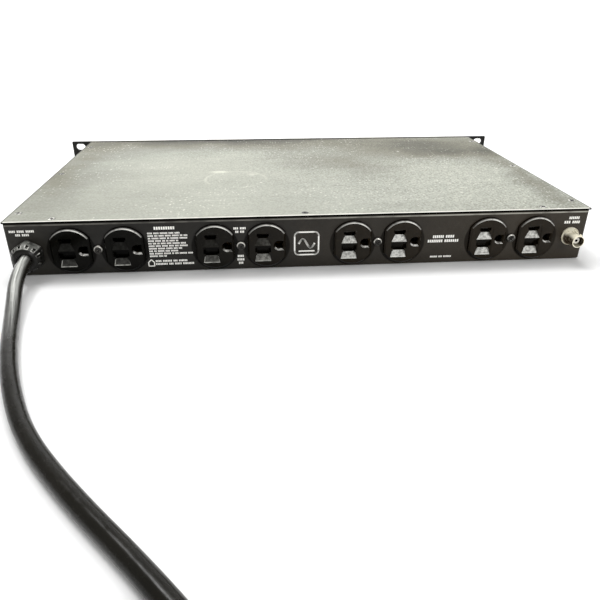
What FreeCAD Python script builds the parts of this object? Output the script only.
import FreeCAD, Part

import math
import os

V = FreeCAD.Vector
X, Y, Z = V(1, 0, 0), V(0, 1, 0), V(0, 0, 1)

# A 19-inch, one-unit rack power strip. The outlet panel faces -Y and the front panel with the rack ears +Y.
# Origin: the middle of the footprint of everything but the free cord, on the surface it stands on. Millimetres.

# ---- driving dimensions ------------------------------------------------------------------------------------
PANEL_W, PANEL_H, PANEL_T = 482.6, 43.7, 3.0      # the front panel, with its ears
SLOT_SPAN_X, SLOT_SPAN_Z = 465.1, 31.75           # rack slots, centre to centre
SLOT_LENGTH, SLOT_WIDTH = 10.3, 6.8
BODY_W, BODY_D, TRAY_H = 442.0, 270.0, 41.9       # the folded tray
SHEET, BEND_R = 1.2, 1.6
COVER_W, COVER_T, COVER_OVERHANG = 442.0, 1.2, 2.0
FLANGE, FRONT_LIP = 14.0, 6.5                     # the tray's inward flanges

OUTLET_X = (-156.5, -51.0, 54.0, 160.5)           # middles of the four duplex receptacles
OUTLET_Z = 19.8
FACE_PITCH = 38.9                                 # between the two faces of one receptacle
FACE_R, FACE_FLAT, FACE_OUT = 17.2, 14.3, 3.0     # radius, half width across the flats, stand-out
BLADE_GAP, BLADE_X, GROUND_X = 12.7, -2.9, 9.0    # slot positions about a face's middle

GLAND_X, GLAND_Z, GLAND_OUT = -206.5, 17.0, 12.0
GLAND_THREAD_R, GLAND_BORE = 8.1, 5.45
LAMP_X, LAMP_Z, LAMP_OUT = 209.0, 20.0, 14.0

CORD_R = 4.75
CORD_FLOOR = CORD_R + 0.05                        # height of the cord's middle where it lies
COIL_IN_R, COIL_OUT_R = 47.5, 66.5                # the coil's turns wind in and out between these
PLUG_TURN = 25.0                                  # degrees from -Y towards +X

MID_Z = PANEL_H / 2
ROCKER_X, BREAKER_X, DIMMER_X = -192.0, -160.0, 190.0
INDICATOR_X = (-132.0, -120.0)
KNOB_OUT = 10.0
ROCKER_TILT = 10.0                                # each way from level

REAR = -(LAMP_OUT + BODY_D + PANEL_T + KNOB_OUT) / 2 + LAMP_OUT     # outside of the outlet panel
FRONT = REAR + BODY_D                                               # back of the front panel
FACE = FRONT + PANEL_T                                              # outside of the front panel
WALL = REAR + SHEET                                                 # inside of the outlet panel

TINY = 0.05                                       # clearance between parts that are fitted together
THROUGH = 1.0                                     # how far a cut runs past a face

# Cover screws: three along the outlet panel, three down each side.
COVER_SCREWS = [(x, REAR + 4.0) for x in (-187.0, -2.0, 184.5)]
COVER_SCREWS += [(side * 215.0, REAR + y) for side in (-1, 1) for y in (18.5, 131.0, 244.0)]
PANEL_SCREWS = [(side * 211.5, z) for side in (-1, 1) for z in (9.5, 34.5)]

# The surge board and the lamp transformer stand on the tray's floor.
BOARD_X, BOARD_Y, BOARD_Z = (-150.0, -60.0), (REAR + 120.0, REAR + 180.0), 8.0
BOARD_T, BOARD_INSET = 1.6, 5.0
BOARD_HOLES = [(x, y) for x in (BOARD_X[0] + BOARD_INSET, BOARD_X[1] - BOARD_INSET)
               for y in (BOARD_Y[0] + BOARD_INSET, BOARD_Y[1] - BOARD_INSET)]
CORE_X, CORE_Y, CORE_H = 150.0, REAR + 150.0, 33.0
CORE_HOLES = [(CORE_X + side * 29.0, CORE_Y) for side in (-1, 1)]
STUD_X, STUD_Y = -205.0, REAR + 60.0


# ---- shapes ------------------------------------------------------------------------------------------------
def box(x0, x1, y0, y1, z0, z1):
    return Part.makeBox(x1 - x0, y1 - y0, z1 - z0, V(x0, y0, z0))


def rod_y(x, z, y0, y1, r):
    return Part.makeCylinder(r, y1 - y0, V(x, y0, z), Y)


def rod_z(x, y, z0, z1, r):
    return Part.makeCylinder(r, z1 - z0, V(x, y, z0), Z)


def rod_x(y, z, x0, x1, r):
    return Part.makeCylinder(r, x1 - x0, V(x0, y, z), X)


def polygon(points):
    return Part.makePolygon(points + points[:1])


def prism(points, along):
    return Part.Face(polygon(points)).extrude(along)


def turned_y(x, z, outline):
    """A solid of revolution about the line along Y through (x, z), from (radius, y) points."""
    face = Part.Face(polygon([V(x + r, y, z) for r, y in outline]))
    return face.revolve(V(x, 0, z), Y, 360)


def hexagon_y(x, z, y0, y1, across):
    """A hexagonal bar along Y, with two flats facing -X and +X."""
    corner = across / math.sqrt(3)
    angles = [math.radians(30 + 60 * k) for k in range(6)]
    return prism([V(x + corner * math.cos(a), y0, z + corner * math.sin(a)) for a in angles], V(0, y1 - y0, 0))


def edges_along(shape, direction):
    lines = [e for e in shape.Edges if e.Curve.TypeId == "Part::GeomLine"]
    return [e for e in lines if abs(e.tangentAt(e.FirstParameter).dot(direction)) > 0.999]


def edges_at_y(shape, y):
    return [e for e in shape.Edges if abs(e.BoundBox.YMin - y) < 1e-6 and abs(e.BoundBox.YMax - y) < 1e-6]


def rounded_box(x0, x1, y0, y1, z0, z1, r, direction):
    """A box whose edges along one direction are rounded."""
    block = box(x0, x1, y0, y1, z0, z1)
    return block.makeFillet(r, edges_along(block, direction))


def cross_recess(point, outward, width, depth):
    """The cutter for a cross recess in a screw head at point, whose head faces outward."""
    thick = width * 0.26
    bars = [Part.makeBox(w, h, depth * 2, V(-w / 2, -h / 2, -depth)) for w, h in ((width, thick), (thick, width))]
    cutter = bars[0].fuse(bars[1])
    cutter.Placement = FreeCAD.Placement(point, FreeCAD.Rotation(Z, outward))
    return cutter


def group(solids):
    return solids[0] if len(solids) == 1 else Part.makeCompound(solids)


def tube(points, radius, largest_arc=None):
    """A round tube along straight runs joined by tangent arcs. Returns its solid and the arcs' radii."""
    edges, radii, start = [], [], points[0]
    for before, corner, after in zip(points, points[1:], points[2:]):
        into, out = corner - before, after - corner
        half_turn = into.getAngle(out) / 2
        arc = 0.45 * min(into.Length, out.Length) / math.tan(half_turn)
        if largest_arc is not None:
            arc = min(arc, largest_arc)
        reach = arc * math.tan(half_turn)
        into.normalize()
        out.normalize()
        first, last = corner - into * reach, corner + out * reach
        inward = out - into
        inward.normalize()
        middle = corner + inward * (arc / math.cos(half_turn) - arc)
        edges.append(Part.LineSegment(start, first).toShape())
        edges.append(Part.Arc(first, middle, last).toShape())
        radii.append(arc)
        start = last
    edges.append(Part.LineSegment(start, points[-1]).toShape())
    path = Part.Wire(edges)
    ring = Part.Wire(Part.Circle(points[0], points[1] - points[0], radius).toShape())
    solid = path.makePipeShell([ring], True, False)
    print("  tube of %.1f mm, volume / (section x length) = %.4f"
          % (path.Length, solid.Volume / (math.pi * radius ** 2 * path.Length)))
    return solid, radii


# ---- casing ------------------------------------------------------------------------------------------------
def face_outline(x, y0, y1, grow):
    """One receptacle face: a disc with a flat on its left and right."""
    flat = FACE_FLAT + grow
    disc = rod_y(x, OUTLET_Z, y0, y1, FACE_R + grow)
    return disc.common(box(x - flat, x + flat, y0, y1, OUTLET_Z - 30, OUTLET_Z + 30))


def face_middles(x):
    return (x - FACE_PITCH / 2, x + FACE_PITCH / 2)


def chassis_tray():
    half = BODY_W / 2
    outer = box(-half, half, REAR, FRONT, 0, TRAY_H)
    bends = [e for e in outer.Edges if e.CenterOfMass.y < FRONT - 1]
    tray = outer.makeFillet(BEND_R, bends)
    inside = half - SHEET
    tray = tray.cut(box(-inside, inside, WALL, FRONT - SHEET, SHEET, TRAY_H - SHEET))
    opening = half - FLANGE
    tray = tray.cut(box(-opening, opening, REAR + FLANGE, FRONT - FLANGE, TRAY_H / 2, TRAY_H + THROUGH))
    tray = tray.cut(box(-opening, opening, FRONT - SHEET - THROUGH, FRONT + THROUGH, FRONT_LIP, TRAY_H - SHEET))
    back, through = REAR - THROUGH, WALL + THROUGH
    for x in OUTLET_X:
        for middle in face_middles(x):
            tray = tray.cut(face_outline(middle, back, through, 0.35))
        tray = tray.cut(rod_y(x, OUTLET_Z, back, through, 1.9))
    tray = tray.cut(rod_y(GLAND_X, GLAND_Z, back, through, GLAND_THREAD_R + 0.2))
    tray = tray.cut(rod_y(LAMP_X, LAMP_Z, back, through, 4.85))
    for x, y in COVER_SCREWS:
        tray = tray.cut(rod_z(x, y, TRAY_H - SHEET - THROUGH, TRAY_H + THROUGH, 1.45 + TINY))
    for x, z in PANEL_SCREWS:
        tray = tray.cut(rod_y(x, z, FRONT - SHEET - THROUGH, FRONT + THROUGH, 1.45 + TINY))
    return tray


def top_cover():
    half = COVER_W / 2
    cover = box(-half, half, REAR - COVER_OVERHANG, FRONT - 0.2, TRAY_H, TRAY_H + COVER_T)
    cover = cover.makeFillet(0.5, edges_along(cover, Z))
    top_rim = [e for e in cover.Edges if e.BoundBox.ZMin > TRAY_H + COVER_T - 1e-6]
    cover = cover.makeFillet(0.3, top_rim)
    for x, y in COVER_SCREWS:
        cover = cover.cut(Part.makeCone(1.5 + TINY, 2.7 + TINY, COVER_T, V(x, y, TRAY_H), Z))
    return cover


def rack_slot(x, z):
    run = (SLOT_LENGTH - SLOT_WIDTH) / 2
    middle = box(x - run, x + run, FRONT - THROUGH, FACE + THROUGH, z - SLOT_WIDTH / 2, z + SLOT_WIDTH / 2)
    ends = [rod_y(x + side * run, z, FRONT - THROUGH, FACE + THROUGH, SLOT_WIDTH / 2) for side in (-1, 1)]
    return middle.fuse(ends)


def front_panel():
    half = PANEL_W / 2
    panel = rounded_box(-half, half, FRONT, FACE, 0, PANEL_H, 1.0, Y)
    panel = panel.makeFillet(0.4, edges_at_y(panel, FACE))
    for side_x in (-1, 1):
        for side_z in (-1, 1):
            panel = panel.cut(rack_slot(side_x * SLOT_SPAN_X / 2, MID_Z + side_z * SLOT_SPAN_Z / 2))
    for x, z in PANEL_SCREWS:
        panel = panel.cut(rod_y(x, z, FRONT - THROUGH, FACE + THROUGH, 1.45 + TINY))
        panel = panel.cut(Part.makeCone(1.45 + TINY, 3.0 + TINY, 1.6, V(x, FACE - 1.6, z), Y))
    front, back = FACE + THROUGH, FRONT - THROUGH
    panel = panel.cut(box(ROCKER_X - 6.1, ROCKER_X + 6.1, back, front, MID_Z - 13.6, MID_Z + 13.6))
    panel = panel.cut(rod_y(BREAKER_X, MID_Z, back, front, 4.9))
    panel = panel.cut(rod_y(DIMMER_X, MID_Z, back, front, 3.6))
    for x in INDICATOR_X:
        panel = panel.cut(rod_y(x, MID_Z, back, front, 2.55))
    return panel


def cover_screws():
    screws = []
    top = TRAY_H + COVER_T
    for x, y in COVER_SCREWS:
        screw = Part.makeCone(1.5, 2.7, COVER_T, V(x, y, TRAY_H), Z)
        screw = screw.fuse(rod_z(x, y, TRAY_H - 4.0, TRAY_H, 1.45))
        screws.append(screw.cut(cross_recess(V(x, y, top), Z, 2.8, 0.9)))
    return group(screws)


def panel_screws():
    screws = []
    for x, z in PANEL_SCREWS:
        screw = Part.makeCone(1.45, 3.0, 1.6, V(x, FACE - 1.6, z), Y)
        screw = screw.fuse(rod_y(x, z, FRONT - 4.0, FACE - 1.6, 1.45))
        screws.append(screw.cut(cross_recess(V(x, FACE, z), Y, 3.2, 1.1)))
    return group(screws)


# ---- receptacles -------------------------------------------------------------------------------------------
FLANGE_BACK = WALL + 3.3                          # back of the face moulding
STRAP_BACK = FLANGE_BACK + SHEET
BASE_BACK = STRAP_BACK + 20.0
BASE_HALF_X, BASE_HALF_Z = 34.0, 14.0
TERMINAL_Y = STRAP_BACK + 9.5


def ground_outline(x, y, r):
    """A ground opening: round towards the blade slots, flat on the far side."""
    z = OUTLET_Z
    arc = Part.Arc(V(x, y, z + r), V(x - r, y, z), V(x, y, z - r)).toShape()
    rest = Part.makePolygon([V(x, y, z - r), V(x + r, y, z - r), V(x + r, y, z + r), V(x, y, z + r)])
    return Part.Wire([arc] + rest.Edges)


def ramp(x, top, height, y, depth, narrow, wide):
    """The sloped lead-in under a blade slot: deep along its top edge, level with the face at the bottom."""
    bottom = top - height
    a, b = V(x - narrow / 2, y, top), V(x + narrow / 2, y, top)
    c, d = V(x + wide / 2, y, bottom), V(x - wide / 2, y, bottom)
    e, f = a + V(0, depth, 0), b + V(0, depth, 0)
    faces = [(a, b, c, d), (e, d, c, f), (a, e, f, b), (a, d, e), (b, f, c)]
    return Part.Solid(Part.Shell([Part.Face(polygon(list(corners))) for corners in faces]))


def brow(x, bottom, height, y, depth, width):
    """The sloped lead-in over a blade slot: deep along its bottom edge, level with the face at the top."""
    side = [V(x - width / 2, y, bottom), V(x - width / 2, y, bottom + height), V(x - width / 2, y + depth, bottom)]
    return prism(side, V(width, 0, 0))


def receptacle_face(x):
    """The black moulding with two faces, which stand out through the panel."""
    front = REAR - FACE_OUT
    moulding = rounded_box(x - 35.5, x + 35.5, WALL, FLANGE_BACK, OUTLET_Z - 17.5, OUTLET_Z + 17.5, 3.0, Y)
    for middle in face_middles(x):
        outline = face_outline(middle, front, WALL, 0.0)
        outline = outline.makeFillet(1.6, edges_along(outline, Y))
        outline = outline.makeChamfer(1.2, edges_at_y(outline, front))
        moulding = moulding.fuse(outline)
    moulding = moulding.cut(rod_y(x, OUTLET_Z, WALL - THROUGH, FLANGE_BACK + THROUGH, 2.0))
    for middle in face_middles(x):
        slot_x = middle + BLADE_X
        recess = 0.45
        moulding = moulding.cut(rounded_box(slot_x - 6.4, slot_x + 6.4, front - THROUGH, front + recess,
                                            OUTLET_Z - 12.7, OUTLET_Z + 10.2, 0.8, Y))
        level = front + recess - 0.01
        for side, length, narrow, over_height, over_width in ((1, 7.4, 8.0, 2.4, 9.0), (-1, 9.0, 10.2, 5.2, 11.8)):
            z = OUTLET_Z + side * BLADE_GAP / 2
            slot = box(slot_x - length / 2, slot_x + length / 2, front - THROUGH, FLANGE_BACK + THROUGH,
                       z - 1.1, z + 1.1)
            moulding = moulding.cut(slot)
            moulding = moulding.cut(ramp(slot_x, z - 1.0, 5.2, level, 2.6, narrow, 12.2))
            moulding = moulding.cut(brow(slot_x, z + 1.0, over_height, level, 2.6, over_width))
        ground_x = middle + GROUND_X
        funnel = Part.makeLoft([ground_outline(ground_x, front - 0.01, 3.8),
                                ground_outline(ground_x, front + 1.6, 2.75)], True, True)
        hole = Part.Face(ground_outline(ground_x, front, 2.75)).extrude(V(0, FLANGE_BACK - front + THROUGH, 0))
        moulding = moulding.cut(funnel).cut(hole)
    return moulding


def chambers(x):
    """The clear spaces behind the openings of both faces, in which the contacts sit."""
    spaces = []
    for middle in face_middles(x):
        slot_x = middle + BLADE_X
        for side in (1, -1):
            z = OUTLET_Z + side * BLADE_GAP / 2
            spaces.append(box(slot_x - 5.2, slot_x + 5.2, STRAP_BACK - 5, STRAP_BACK + 16.5, z - 2.8, z + 2.8))
        ground_x = middle + GROUND_X
        spaces.append(box(ground_x - 3.9, ground_x + 3.9, STRAP_BACK - 5, STRAP_BACK + 16.5,
                          OUTLET_Z - 3.4, OUTLET_Z + 3.4))
    return spaces


def receptacle_base(x):
    """The rear half of the receptacle's body, with a chamber behind each opening."""
    base = rounded_box(x - BASE_HALF_X, x + BASE_HALF_X, STRAP_BACK, BASE_BACK,
                       OUTLET_Z - BASE_HALF_Z, OUTLET_Z + BASE_HALF_Z, 2.0, Y)
    base = base.cut(chambers(x))
    base = base.cut(rod_y(x, OUTLET_Z, STRAP_BACK - THROUGH, STRAP_BACK + 6.0, 2.0))
    for end_x in face_middles(x):
        for side in (1, -1):
            z = OUTLET_Z + side * BASE_HALF_Z
            base = base.cut(rod_z(end_x, TERMINAL_Y, z - 3.5, z + 3.5, 1.6 + TINY))
    return base.cut(rod_x(TERMINAL_Y, OUTLET_Z - 7.0, x + BASE_HALF_X - 5.0, x + BASE_HALF_X + THROUGH, 1.6 + TINY))


def receptacle_strap(x):
    """The steel yoke between the face and the base, into which the middle screw is threaded."""
    strap = rounded_box(x - 37.5, x + 37.5, FLANGE_BACK, STRAP_BACK, OUTLET_Z - 10.5, OUTLET_Z + 10.5, 2.0, Y)
    strap = strap.cut(chambers(x))
    return strap.cut(rod_y(x, OUTLET_Z, FLANGE_BACK - THROUGH, STRAP_BACK + THROUGH, 1.7 + TINY))


def outlet_contacts():
    """Brass spring contacts: a pair of leaves behind each opening, each pair on its own back plate."""
    back = STRAP_BACK + 16.4
    front = STRAP_BACK + 0.6
    contacts = []
    for middle in [middle for x in OUTLET_X for middle in face_middles(x)]:
        sites = [(middle + BLADE_X, OUTLET_Z + side * BLADE_GAP / 2, 4.2, 1.0) for side in (1, -1)]
        sites.append((middle + GROUND_X, OUTLET_Z, 2.6, 2.5))
        for site_x, z, half, gap in sites:
            clip = box(site_x - half, site_x + half, back - 0.7, back, z - gap - 0.7, z + gap + 0.7)
            for side in (-1, 1):
                low = z + side * (gap + 0.35) - 0.35
                clip = clip.fuse(box(site_x - half, site_x + half, front, back, low, low + 0.7))
            contacts.append(clip)
    return group(contacts)


def middle_screws():
    screws = []
    for x in OUTLET_X:
        head = rod_y(x, OUTLET_Z, REAR - 2.1, REAR, 3.3)
        head = head.makeFillet(1.1, edges_at_y(head, REAR - 2.1))
        screw = head.fuse(rod_y(x, OUTLET_Z, REAR, STRAP_BACK + 4.0, 1.7))
        screws.append(screw.cut(cross_recess(V(x, REAR - 2.1, OUTLET_Z), -Y, 3.6, 1.2)))
    return group(screws)


def terminal_screw(point, outward):
    head = Part.makeCylinder(3.4, 1.6, point, outward)
    shank = Part.makeCylinder(1.6, 3.0, point - outward * 3.0, outward)
    return head.fuse(shank).cut(cross_recess(point + outward * 1.6, outward, 3.6, 0.8))


def terminal_screws():
    screws = []
    for x in OUTLET_X:
        for end_x in face_middles(x):
            screws.append(terminal_screw(V(end_x, TERMINAL_Y, OUTLET_Z + BASE_HALF_Z), Z))
            screws.append(terminal_screw(V(end_x, TERMINAL_Y, OUTLET_Z - BASE_HALF_Z), -Z))
        screws.append(terminal_screw(V(x + BASE_HALF_X, TERMINAL_Y, OUTLET_Z - 7.0), X))
    return group(screws)


# ---- cord gland and lamp socket ----------------------------------------------------------------------------
GLAND_AF = 20.5


def gland_body():
    body = hexagon_y(GLAND_X, GLAND_Z, REAR - 2.5, REAR, GLAND_AF)
    body = body.common(turned_y(GLAND_X, GLAND_Z, [(0, REAR - 2.5), (10.6, REAR - 2.5), (11.3, REAR - 1.8),
                                                   (11.3, REAR), (0, REAR)]))
    body = body.fuse(rod_y(GLAND_X, GLAND_Z, REAR, REAR + 10.0, GLAND_THREAD_R))
    body = body.fuse(rod_y(GLAND_X, GLAND_Z, REAR - 7.0, REAR - 2.5, GLAND_THREAD_R - 0.1))
    return body.cut(rod_y(GLAND_X, GLAND_Z, REAR - 8.0, REAR + 11.0, GLAND_BORE))


def gland_dome_nut():
    """A hexagonal nut with rounded corners, whose shoulder has twelve notches and slopes in to the cord."""
    start, mouth = REAR - 2.6, REAR - GLAND_OUT
    outside = turned_y(GLAND_X, GLAND_Z, [(0, start), (11.3, start), (11.3, start - 3.8), (10.4, start - 6.0),
                                          (8.8, start - 8.2), (7.6, mouth + 0.3), (7.2, mouth), (0, mouth)])
    nut = outside.common(hexagon_y(GLAND_X, GLAND_Z, mouth, start, GLAND_AF))
    inside = turned_y(GLAND_X, GLAND_Z, [(0, start + 1), (8.1, start + 1), (8.1, start - 5.2),
                                         (GLAND_BORE, mouth + 1.2), (GLAND_BORE, mouth - 1), (0, mouth - 1)])
    nut = nut.cut(inside)
    for k in range(12):
        notch = box(GLAND_X - 1.0, GLAND_X + 1.0, start - 9.0, start - 4.6, GLAND_Z + 9.1, GLAND_Z + 14)
        notch.rotate(V(GLAND_X, 0, GLAND_Z), Y, 15 + 30 * k)
        nut = nut.cut(notch)
    return nut


def gland_seal():
    """The rubber ring that the nut squeezes onto the cord."""
    first, last = REAR - 7.1, REAR - 10.4
    return turned_y(GLAND_X, GLAND_Z, [(CORD_R + TINY, first), (7.9, first), (7.9, first - 0.6),
                                       (5.5, last), (CORD_R + TINY, last)])


def gland_locknut():
    nut = hexagon_y(GLAND_X, GLAND_Z, WALL, WALL + 4.5, GLAND_AF)
    return nut.cut(rod_y(GLAND_X, GLAND_Z, WALL - 1, WALL + 6, GLAND_THREAD_R + TINY))


LAMP_BORE = 4.15


def lamp_shell():
    mouth = REAR - LAMP_OUT
    shell = turned_y(LAMP_X, LAMP_Z, [(0, REAR), (7.2, REAR), (7.2, REAR - 1.2), (6.6, REAR - 2.0), (5.3, REAR - 4.0),
                                      (4.8, REAR - 5.2), (4.8, mouth + 0.3), (4.6, mouth), (0, mouth)])
    for angle in (45, 225):
        lug = Part.makeCylinder(1.05, 5.6, V(LAMP_X, mouth + 4.6, LAMP_Z), Z)
        lug.rotate(V(LAMP_X, 0, LAMP_Z), Y, angle)
        shell = shell.fuse(lug)
    shell = shell.fuse(rod_y(LAMP_X, LAMP_Z, REAR, REAR + 9.0, 4.7))
    shell = shell.cut(rod_y(LAMP_X, LAMP_Z, mouth - 1, REAR - 3.0, LAMP_BORE))
    return shell.cut(rod_y(LAMP_X, LAMP_Z, REAR - 4.0, REAR + 10.0, 3.2))


def lamp_insulator():
    tip = REAR - LAMP_OUT + 3.2
    body = turned_y(LAMP_X, LAMP_Z, [(0, tip), (2.4, tip), (2.55, tip + 0.2), (2.55, REAR - 3.0), (3.15, REAR - 3.0),
                                     (3.15, REAR + 10.5), (0, REAR + 10.5)])
    return body.cut(rod_y(LAMP_X, LAMP_Z, tip - 1, REAR + 11, 1.05 + TINY))


def lamp_contact():
    tip = REAR - LAMP_OUT + 3.5
    pin = rod_y(LAMP_X, LAMP_Z, tip, REAR + 14.0, 1.05)
    return pin.cut(rod_y(LAMP_X, LAMP_Z, tip - 1, tip + 6.0, 0.7))


def lamp_washer():
    ring = rod_y(LAMP_X, LAMP_Z, WALL, WALL + 0.8, 7.0)
    return ring.cut(rod_y(LAMP_X, LAMP_Z, WALL - 1, WALL + 2, 4.7 + TINY))


def lamp_nut():
    nut = hexagon_y(LAMP_X, LAMP_Z, WALL + 0.8, WALL + 3.4, 13.0)
    return nut.cut(rod_y(LAMP_X, LAMP_Z, WALL, WALL + 5, 4.7 + TINY))


# ---- power cord --------------------------------------------------------------------------------------------
COIL_X, COIL_Y = -90.8, REAR - 363.7
ENTRY_X, ENTRY_Y = -56.9, REAR - 300.7            # where the cord meets the coil
CORD_ROUTE = [
    V(GLAND_X, REAR + 10.0, GLAND_Z),
    V(GLAND_X, REAR - 27.0, GLAND_Z),
    V(-196.4, REAR - 72.5, CORD_FLOOR),
    V(-184.3, REAR - 114.5, CORD_FLOOR),
    V(-169.8, REAR - 152.5, CORD_FLOOR),
    V(-150.6, REAR - 190.5, CORD_FLOOR),
    V(-121.5, REAR - 227.5, CORD_FLOOR),
    V(-83.5, REAR - 268.5, CORD_FLOOR),
    V(ENTRY_X, ENTRY_Y, CORD_FLOOR),
]
TAIL_FROM, TAIL_TO = 27.0, 44.0                   # along the tangent that leaves the coil
COIL_TOP = CORD_FLOOR + 2 * CORD_R                # height of the upper turns' middle
PLUG_AXIS_Z = 12.0


def plug_direction():
    turn = math.radians(PLUG_TURN)
    return V(math.sin(turn), -math.cos(turn), 0)


def tail_point(along, z):
    """A point on the line that leaves the coil's outer turn for the plug."""
    turn = math.radians(PLUG_TURN)
    leave = V(COIL_X + COIL_OUT_R * math.cos(turn), COIL_Y + COIL_OUT_R * math.sin(turn), 0)
    return leave + plug_direction() * along + V(0, 0, z)


def power_cord():
    lead, radii = tube(CORD_ROUTE, CORD_R)
    print("  cord arc radii:", ", ".join("%.0f" % r for r in radii))
    tail, _ = tube([tail_point(TAIL_FROM, COIL_TOP), tail_point(TAIL_TO, PLUG_AXIS_Z)], CORD_R)
    return group([lead, tail])


def cord_coil():
    """The outer shape of two layers, which wind in and out again, two turns each."""
    inner, outer = COIL_IN_R - CORD_R, COIL_OUT_R + CORD_R
    low, high = CORD_FLOOR - CORD_R, COIL_TOP + CORD_R
    ring = rod_z(COIL_X, COIL_Y, low, high, outer).cut(rod_z(COIL_X, COIL_Y, low - 1, high + 1, inner))
    rims = [e for e in ring.Edges if e.Curve.TypeId == "Part::GeomCircle"]
    return ring.makeFillet(3.5, rims)


def placed_plug(shape):
    """Moves a plug piece, drawn along -Y from its cord end at the origin, to where the plug lies."""
    shape.Placement = FreeCAD.Placement(tail_point(TAIL_TO, PLUG_AXIS_Z), FreeCAD.Rotation(Z, PLUG_TURN))
    return shape


RELIEF_L, PLUG_L = 26.0, 36.0


def plug_body():
    relief = turned_y(0, 0, [(0, 0), (5.9, 0), (6.3, -0.6), (8.6, -RELIEF_L - 2), (0, -RELIEF_L - 2)])
    for k in range(5):
        y = -4.0 - 4.2 * k
        groove = turned_y(0, 0, [(5.3 + 0.32 * k, y), (12, y), (12, y - 1.7), (5.3 + 0.32 * k, y - 1.7)])
        relief = relief.cut(groove)
    start = -RELIEF_L
    body = rounded_box(-13.5, 13.5, start - PLUG_L, start, -PLUG_AXIS_Z, PLUG_AXIS_Z, 6.0, Y)
    body = body.makeFillet(4.0, edges_at_y(body, start))
    body = body.makeFillet(1.2, edges_at_y(body, start - PLUG_L))
    for side in (-1, 1):
        for k in range(5):
            y = start - 8.0 - 3.4 * k
            grip = box(side * 13.5 - 0.7, side * 13.5 + 0.7, y - 1.3, y, -7, 7)
            body = body.cut(grip)
    return placed_plug(relief.fuse(body))


def plug_blades():
    blades = []
    start = -RELIEF_L - PLUG_L
    for side in (-1, 1):
        x = side * BLADE_GAP / 2
        blade = box(x - 0.75, x + 0.75, start - 17.5, start, 0.6, 7.0)
        blade = blade.makeChamfer(0.6, edges_at_y(blade, start - 17.5))
        blades.append(blade.cut(rod_x(start - 13.0, 3.8, x - 2, x + 2, 1.6)))
    return placed_plug(group(blades))


def plug_ground_pin():
    start = -RELIEF_L - PLUG_L
    pin = rod_y(0, -8.1, start - 20.5, start, 2.4)
    return placed_plug(pin.makeFillet(1.8, edges_at_y(pin, start - 20.5)))


# ---- front controls ----------------------------------------------------------------------------------------
BEZEL_OUT = 2.0
PIVOT_Y = FACE - 1.0


def switch_housing():
    bezel = rounded_box(ROCKER_X - 7.8, ROCKER_X + 7.8, FACE, FACE + BEZEL_OUT, MID_Z - 15.6, MID_Z + 15.6, 1.2, Y)
    bezel = bezel.makeFillet(0.8, edges_at_y(bezel, FACE + BEZEL_OUT))
    housing = bezel.fuse(box(ROCKER_X - 6.0, ROCKER_X + 6.0, FACE - 22.0, FACE, MID_Z - 13.5, MID_Z + 13.5))
    housing = housing.cut(box(ROCKER_X - 5.0, ROCKER_X + 5.0, FACE - 9.0, FACE + 5, MID_Z - 12.4, MID_Z + 12.4))
    return housing.cut(rod_x(PIVOT_Y, MID_Z, ROCKER_X - 6.0, ROCKER_X + 6.0, 1.0))


def power_rocker():
    """The rocker, at rest with its lower half pressed in."""
    profile = [(-11.6, -3.2), (-11.6, 3.9), (-10.9, 4.5), (0, 2.5), (10.9, 4.5), (11.6, 3.9), (11.6, -3.2), (3.0, -5.4),
               (-3.0, -5.4)]
    outline = [V(ROCKER_X - 4.75, PIVOT_Y + y, MID_Z + z) for z, y in profile]
    rocker = prism(outline, V(9.5, 0, 0))
    rocker = rocker.cut(rod_x(PIVOT_Y, MID_Z, ROCKER_X - 6, ROCKER_X + 6, 1.0 + TINY))
    rocker.rotate(V(ROCKER_X, PIVOT_Y, MID_Z), X, -ROCKER_TILT)
    return rocker


def rocker_pivot():
    return rod_x(PIVOT_Y, MID_Z, ROCKER_X - 5.9, ROCKER_X + 5.9, 1.0)


def breaker_housing():
    housing = rounded_box(BREAKER_X - 7.5, BREAKER_X + 7.5, FRONT - 34.0, FRONT, MID_Z - 15.0, MID_Z + 15.0, 1.5, Y)
    housing = housing.fuse(rod_y(BREAKER_X, MID_Z, FRONT, FACE + 5.0, 4.75))
    return housing.cut(rod_y(BREAKER_X, MID_Z, FRONT - 8.0, FACE + 6.0, 3.3 + TINY))


def breaker_nut():
    nut = hexagon_y(BREAKER_X, MID_Z, FACE, FACE + 2.4, 14.0)
    nut = nut.common(turned_y(BREAKER_X, MID_Z, [(0, FACE), (8.0, FACE), (8.0, FACE + 1.7), (7.1, FACE + 2.4),
                                                 (0, FACE + 2.4)]))
    return nut.cut(rod_y(BREAKER_X, MID_Z, FACE - 1, FACE + 4, 4.75 + TINY))


def reset_button():
    """The breaker's button, pushed home. It comes out when the breaker trips."""
    button = rod_y(BREAKER_X, MID_Z, FRONT - 4.0, FACE + 7.5, 3.3 - TINY)
    button = button.makeFillet(0.8, edges_at_y(button, FACE + 7.5))
    return button.cut(rod_y(BREAKER_X, MID_Z, FRONT - 5.0, FRONT, 1.8))


def dimmer_pot():
    pot = rod_y(DIMMER_X, MID_Z, FRONT - 12.0, FRONT, 10.5)
    pot = pot.fuse(rod_y(DIMMER_X, MID_Z, FRONT, FACE + 4.0, 3.5))
    for k in (-1, 0, 1):
        pot = pot.fuse(box(DIMMER_X + 5 * k - 1, DIMMER_X + 5 * k + 1, FRONT - 9.0, FRONT - 8.2, MID_Z - 16, MID_Z - 9))
    return pot.cut(rod_y(DIMMER_X, MID_Z, FRONT - 9.0, FACE + 7, 3.0 + TINY))


def dimmer_nut():
    nut = hexagon_y(DIMMER_X, MID_Z, FACE, FACE + 2.0, 10.0)
    return nut.cut(rod_y(DIMMER_X, MID_Z, FACE - 1, FACE + 3, 3.5 + TINY))


def dimmer_shaft():
    return rod_y(DIMMER_X, MID_Z, FRONT - 8.5, FACE + KNOB_OUT - 2.0, 3.0 - TINY)


KNOB_R = 8.0


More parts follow.
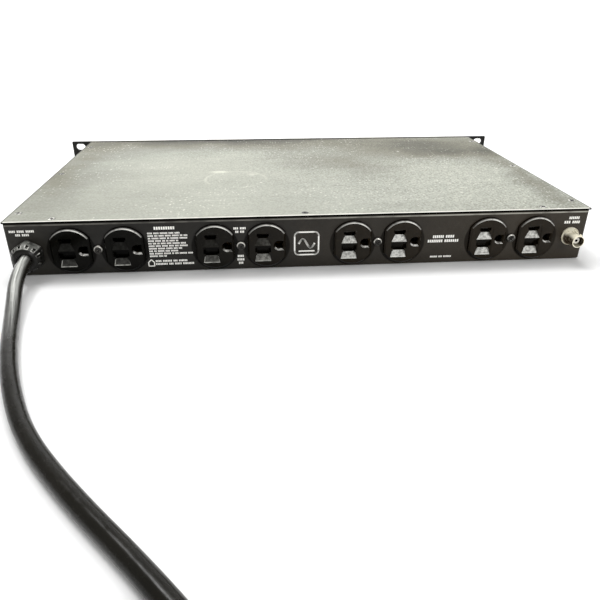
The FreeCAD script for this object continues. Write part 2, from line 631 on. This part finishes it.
def dimmer_knob():
    """A fluted knob with a raised pointer. At rest it is turned down, with the pointer at lower left."""
    front = FACE + KNOB_OUT
    knob = rod_y(DIMMER_X, MID_Z, FACE + 0.8, front, KNOB_R)
    knob = knob.makeFillet(1.0, edges_at_y(knob, front))
    for k in range(18):
        flute = rod_y(DIMMER_X, MID_Z + KNOB_R + 0.35, FACE + 2.5, front + 1, 0.8)
        flute.rotate(V(DIMMER_X, 0, MID_Z), Y, 10 + 20 * k)
        knob = knob.cut(flute)
    knob = knob.cut(rod_y(DIMMER_X, MID_Z, FACE, FACE + 4.5, 6.4))
    knob = knob.cut(rod_y(DIMMER_X, MID_Z, FACE, FACE + KNOB_OUT - 2.0, 3.0 - TINY))
    pointer = box(DIMMER_X - 0.5, DIMMER_X + 0.5, front - 0.4, front + 1, MID_Z + 2.0, MID_Z + KNOB_R + 1)
    pointer.rotate(V(DIMMER_X, 0, MID_Z), Y, 135)
    return knob.cut(pointer)


def indicator_lenses():
    lenses = []
    for x in INDICATOR_X:
        lens = rod_y(x, MID_Z, FRONT - 4.0, FACE + 2.2, 2.5)
        lens = lens.makeFillet(2.0, edges_at_y(lens, FACE + 2.2))
        lenses.append(lens.fuse(rod_y(x, MID_Z, FRONT - 4.0, FRONT - 1.0, 3.0)))
    return group(lenses)


def spade_terminals():
    tabs = []
    for z in (MID_Z - 8.0, MID_Z, MID_Z + 8.0):
        tabs.append(box(ROCKER_X - 3.15, ROCKER_X + 3.15, FACE - 30.0, FACE - 22.0, z - 0.4, z + 0.4))
    for z in (MID_Z - 9.0, MID_Z + 9.0):
        tabs.append(box(BREAKER_X - 3.15, BREAKER_X + 3.15, FRONT - 42.0, FRONT - 34.0, z - 0.4, z + 0.4))
    return group(tabs)


# ---- inside ------------------------------------------------------------------------------------------------
def surge_board():
    board = box(BOARD_X[0], BOARD_X[1], BOARD_Y[0], BOARD_Y[1], BOARD_Z, BOARD_Z + BOARD_T)
    for x, y in BOARD_HOLES:
        board = board.cut(rod_z(x, y, BOARD_Z - 1, BOARD_Z + 3, 1.6))
    return board


def board_standoffs():
    return group([rod_z(x, y, SHEET, BOARD_Z, 3.0).cut(rod_z(x, y, SHEET - 1, BOARD_Z + 1, 1.45 + TINY))
                  for x, y in BOARD_HOLES])


def varistors():
    top = BOARD_Z + BOARD_T
    return group([rod_y(x, top + 8.5, BOARD_Y[0] + 12.0, BOARD_Y[0] + 17.0, 7.5) for x in (-132.0, -112.0, -92.0)])


def filter_choke():
    top = BOARD_Z + BOARD_T
    x, y = -126.0, BOARD_Y[0] + 38.0
    ring = rod_z(x, y, top + 0.2, top + 12.0, 13.0).cut(rod_z(x, y, top - 1, top + 13, 6.0))
    return ring.makeFillet(2.0, [e for e in ring.Edges if e.Curve.TypeId == "Part::GeomCircle"])


def filter_capacitor():
    top = BOARD_Z + BOARD_T
    return rounded_box(-100.0, -74.0, BOARD_Y[0] + 30.0, BOARD_Y[0] + 42.0, top, top + 19.0, 1.0, Z)


def transformer_core():
    """Laminated core with two windows, seen from the front as a figure of eight on its side."""
    core = box(CORE_X - 21.0, CORE_X + 21.0, CORE_Y - 8.0, CORE_Y + 8.0, SHEET + 1.0, SHEET + 1.0 + CORE_H)
    for side in (-1, 1):
        middle = CORE_X + side * 10.5
        core = core.cut(box(middle - 3.5, middle + 3.5, CORE_Y - 9, CORE_Y + 9, SHEET + 7.5, SHEET + CORE_H - 5.5))
    return core


def transformer_winding():
    """The coil round the core's middle leg."""
    low, high = SHEET + 7.7, SHEET + CORE_H - 5.7
    winding = rounded_box(CORE_X - 13.8, CORE_X + 13.8, CORE_Y - 15.0, CORE_Y + 15.0, low, high, 4.0, Z)
    return winding.cut(box(CORE_X - 7.2, CORE_X + 7.2, CORE_Y - 8.2, CORE_Y + 8.2, low - 1, high + 1))


def transformer_frame():
    """A steel strip under the core, with an ear and a screw hole at each end."""
    strip = rounded_box(CORE_X - 34.0, CORE_X + 34.0, CORE_Y - 8.0, CORE_Y + 8.0, SHEET, SHEET + 1.0, 3.0, Z)
    for side in (-1, 1):
        x = CORE_X + side * 21.6
        strip = strip.fuse(box(x - 0.5, x + 0.5, CORE_Y - 8.0, CORE_Y + 8.0, SHEET, SHEET + 20.0))
    for x, y in CORE_HOLES:
        strip = strip.cut(rod_z(x, y, SHEET - 1, SHEET + 2, 1.6))
    return strip


def inner_screws():
    """Pan-head screws that hold the board to its posts and the transformer to the floor."""
    screws = []
    for x, y, seat, length in ([(x, y, BOARD_Z + BOARD_T, 6.0) for x, y in BOARD_HOLES]
                               + [(x, y, SHEET + 1.0, 0.9) for x, y in CORE_HOLES]):
        screw = rod_z(x, y, seat, seat + 2.0, 2.8).fuse(rod_z(x, y, seat - length, seat, 1.45))
        screws.append(screw.cut(cross_recess(V(x, y, seat + 2.0), Z, 3.0, 0.9)))
    return group(screws)


def ground_stud():
    stud = rod_z(STUD_X, STUD_Y, SHEET, SHEET + 11.0, 1.95)
    return stud.fuse(rod_z(STUD_X, STUD_Y, SHEET, SHEET + 1.0, 4.0))


def ground_nut():
    corner = 7.0 / math.sqrt(3)
    angles = [math.radians(60 * k) for k in range(6)]
    points = [V(STUD_X + corner * math.cos(a), STUD_Y + corner * math.sin(a), SHEET + 4.2) for a in angles]
    return prism(points, V(0, 0, 3.0)).cut(rod_z(STUD_X, STUD_Y, SHEET, SHEET + 12, 1.95 + TINY))


WIRE_R = 1.3
WIRE_BEND = 6.0


def jumpers(first_x, last_x, z, start_y, back_y):
    """A wire from each receptacle to the next, looping out behind them."""
    wires = []
    for left, right in zip(OUTLET_X, OUTLET_X[1:]):
        a, b = left + first_x, right + last_x
        points = [V(a, start_y, z), V(a, back_y, z), V(b, back_y, z), V(b, start_y, z)]
        wires.append(tube(points, WIRE_R, WIRE_BEND)[0])
    return wires


CORD_END = REAR + 10.2                            # where the cord's jacket ends inside
JUMPER_START = TERMINAL_Y + 3.6
BOARD_TOP = BOARD_Z + BOARD_T


def line_wires():
    """From the cord to the switch, from the breaker to the board, and on to the receptacles."""
    top = OUTLET_Z + BASE_HALF_Z + WIRE_R + 0.1
    first = OUTLET_X[0] - FACE_PITCH / 2
    feed = [V(GLAND_X, CORD_END, GLAND_Z + 2.4), V(GLAND_X, REAR + 40, GLAND_Z + 2.4),
            V(ROCKER_X, REAR + 90, MID_Z), V(ROCKER_X, FACE - 30.2, MID_Z)]
    bridge = [V(ROCKER_X, FACE - 30.2, MID_Z + 8), V(ROCKER_X, FACE - 48, MID_Z + 8),
              V(BREAKER_X, FRONT - 60, MID_Z + 9), V(BREAKER_X, FRONT - 42.2, MID_Z + 9)]
    load = [V(BREAKER_X, FRONT - 42.2, MID_Z - 9), V(BREAKER_X, REAR + 190, MID_Z - 9),
            V(-156, REAR + 100, 24), V(first, REAR + 60, top), V(first, JUMPER_START, top)]
    wires = [tube(points, WIRE_R, WIRE_BEND)[0] for points in (feed, bridge, load)]
    return group(wires + jumpers(FACE_PITCH / 2, -FACE_PITCH / 2, top, JUMPER_START, REAR + 38))


def neutral_wires():
    low = OUTLET_Z - BASE_HALF_Z - WIRE_R - 0.1
    first = OUTLET_X[0] - FACE_PITCH / 2
    feed = [V(GLAND_X + 2.2, CORD_END, GLAND_Z - 1.4), V(GLAND_X + 2.2, REAR + 30, GLAND_Z - 1.4),
            V(GLAND_X + 14, REAR + 46, low), V(first, REAR + 44, low), V(first, JUMPER_START, low)]
    wires = [tube(feed, WIRE_R, WIRE_BEND)[0]]
    return group(wires + jumpers(FACE_PITCH / 2, -FACE_PITCH / 2, low, JUMPER_START, REAR + 38))


def ground_wires():
    z = OUTLET_Z - 7.0
    side = BASE_HALF_X + 3.0
    feed = [V(GLAND_X - 2.2, CORD_END, GLAND_Z - 1.4), V(GLAND_X - 2.2, REAR + 30, GLAND_Z - 1.4),
            V(STUD_X, REAR + 44, SHEET + 2.6), V(STUD_X, STUD_Y - 4.2, SHEET + 2.6)]
    wires = [tube(feed, WIRE_R, WIRE_BEND)[0]]
    return group(wires + jumpers(side, side, z, JUMPER_START, REAR + 44))


# ---- output ------------------------------------------------------------------------------------------------
PIECES = {
    "chassis_tray": chassis_tray,
    "top_cover": top_cover,
    "front_panel": front_panel,
    "cover_screws": cover_screws,
    "front_panel_screws": panel_screws,
    "outlet_middle_screws": middle_screws,
    "outlet_terminal_screws": terminal_screws,
    "outlet_contacts": outlet_contacts,
    "gland_body": gland_body,
    "gland_dome_nut": gland_dome_nut,
    "gland_seal": gland_seal,
    "gland_locknut": gland_locknut,
    "lamp_socket_shell": lamp_shell,
    "lamp_socket_insulator": lamp_insulator,
    "lamp_socket_contact": lamp_contact,
    "lamp_socket_washer": lamp_washer,
    "lamp_socket_nut": lamp_nut,
    "power_cord": power_cord,
    "cord_coil": cord_coil,
    "plug_body": plug_body,
    "plug_blades": plug_blades,
    "plug_ground_pin": plug_ground_pin,
    "switch_housing": switch_housing,
    "power_rocker": power_rocker,
    "rocker_pivot": rocker_pivot,
    "breaker_housing": breaker_housing,
    "breaker_nut": breaker_nut,
    "reset_button": reset_button,
    "dimmer_pot": dimmer_pot,
    "dimmer_nut": dimmer_nut,
    "dimmer_shaft": dimmer_shaft,
    "dimmer_knob": dimmer_knob,
    "indicator_lenses": indicator_lenses,
    "spade_terminals": spade_terminals,
    "surge_board": surge_board,
    "board_standoffs": board_standoffs,
    "varistors": varistors,
    "filter_choke": filter_choke,
    "filter_capacitor": filter_capacitor,
    "transformer_core": transformer_core,
    "transformer_winding": transformer_winding,
    "transformer_frame": transformer_frame,
    "inner_screws": inner_screws,
    "ground_stud": ground_stud,
    "ground_nut": ground_nut,
    "line_wires": line_wires,
    "neutral_wires": neutral_wires,
    "ground_wires": ground_wires,
}
RECEPTACLE_PIECES = {
    "face": receptacle_face,
    "base": receptacle_base,
    "strap": receptacle_strap,
}


def save(name, shape):
    solids = shape.Solids
    print("%-24s %2d solid(s)%s" % (name, len(solids), "" if shape.isValid() else "  NOT VALID"))
    shape.exportStep("parts/%s.step" % name)


os.makedirs("parts", exist_ok=True)
for name, make in PIECES.items():
    save(name, make())
for number, x in enumerate(OUTLET_X, start=1):
    for name, make in RECEPTACLE_PIECES.items():
        save("outlet_%d_%s" % (number, name), make(x))
